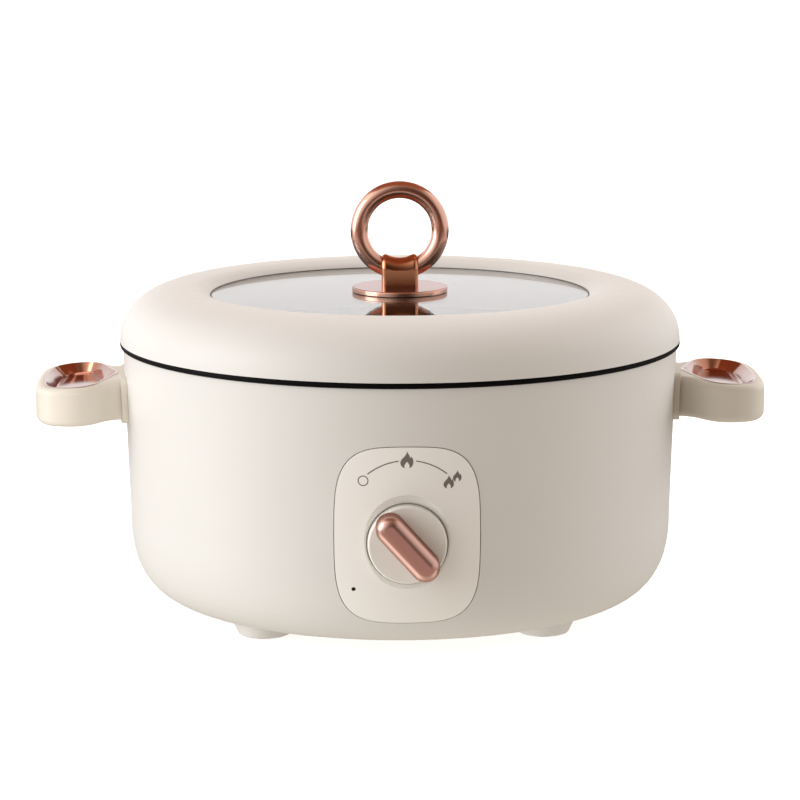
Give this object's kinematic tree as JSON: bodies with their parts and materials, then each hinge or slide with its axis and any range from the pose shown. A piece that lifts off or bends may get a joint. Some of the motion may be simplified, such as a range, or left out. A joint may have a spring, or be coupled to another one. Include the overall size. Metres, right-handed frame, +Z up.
{
  "type": "electric hot pot",
  "caption": "Round countertop electric hot pot: fixed non-stick pan in an insulated casing with side handles, turn-knob heat switch and a lift-off glass lid with a ring pull.",
  "frame": {"origin": "centre of the footprint on the table, on the pot's axis, in the plane of the foot pads", "axes": "+Z up; -Y towards the user (the control panel faces -Y); the side handles lie along X; the mains inlet faces +Y"},
  "size_m": [0.374, 0.306, 0.2208],
  "materials": {
    "shell": "matte cream",
    "panel": "matte cream, slightly lighter",
    "lid_shell": "matte cream",
    "lid_liner": "matte cream, heat-proof",
    "underside": "matte, lightly textured",
    "pan": "black non-stick coating",
    "rose_gold": "satin rose-gold plating",
    "rose_trim": "glossy rose-gold anodising",
    "glass": "clear, toughened",
    "seal": "black silicone",
    "seal_grey": "grey silicone",
    "pad": "matt grey",
    "plate": "cast",
    "steel": "plain",
    "screw": "zinc plated",
    "shield": "bright sheet",
    "switch": "black",
    "inlet": "black",
    "contact": "bright",
    "wire": "silicone sleeve",
    "lens": "smoked",
    "lamp": "clear red"
  },
  "bodies": {
    "base": {"outer_shell": "shell", "base_cover": "underside", "foot_front_left": "shell", "foot_front_right": "shell", "foot_rear_left": "shell", "foot_rear_right": "shell", "foot_pads": "pad", "inner_pot": "pan", "flange_seal": "seal", "heating_plate": "plate", "heating_element": "steel", "thermostat": "switch", "thermostat_bracket": "steel", "bracket_screws": "screw", "thermal_fuse": "steel", "pan_standoffs": "steel", "base_screws": "screw", "heat_shield": "shield", "control_panel": "panel", "indicator_lens": "lens", "indicator_lamp": "lamp", "rotary_switch": "switch", "switch_bracket": "steel", "switch_screws": "screw", "handle_left": "shell", "handle_right": "shell", "handle_trim_left": "rose_trim", "handle_trim_right": "rose_trim", "handle_screws": "screw", "inlet_bezel": "shell", "power_inlet": "inlet", "inlet_pins": "contact", "inlet_screws": "screw", "inlet_nuts": "screw", "wiring": "wire"},
    "lid": {"lid_cover": "lid_shell", "lid_inner_ring": "lid_liner", "lid_screws": "screw", "lid_glass": "glass", "glass_seal": "seal_grey", "pull_base": "rose_gold", "pull_post": "rose_gold", "pull_ring": "rose_gold", "pull_screw": "screw", "pull_washer": "steel", "pull_seal": "seal"},
    "control_knob": {"knob_dial": "panel", "knob_grip": "rose_gold", "switch_shaft": "steel"}
  },
  "joints": [
    {"name": "lid_lift", "type": "slide", "parent": "base", "child": "lid", "axis": [0, 0, 1], "range_m": [0, 0.15]},
    {"name": "knob_turn", "type": "hinge", "parent": "base", "child": "control_knob", "pos_m": [0, -0.14, 0.0612], "axis": [0, 1, 0], "range_deg": [0, 84]}
  ]
}
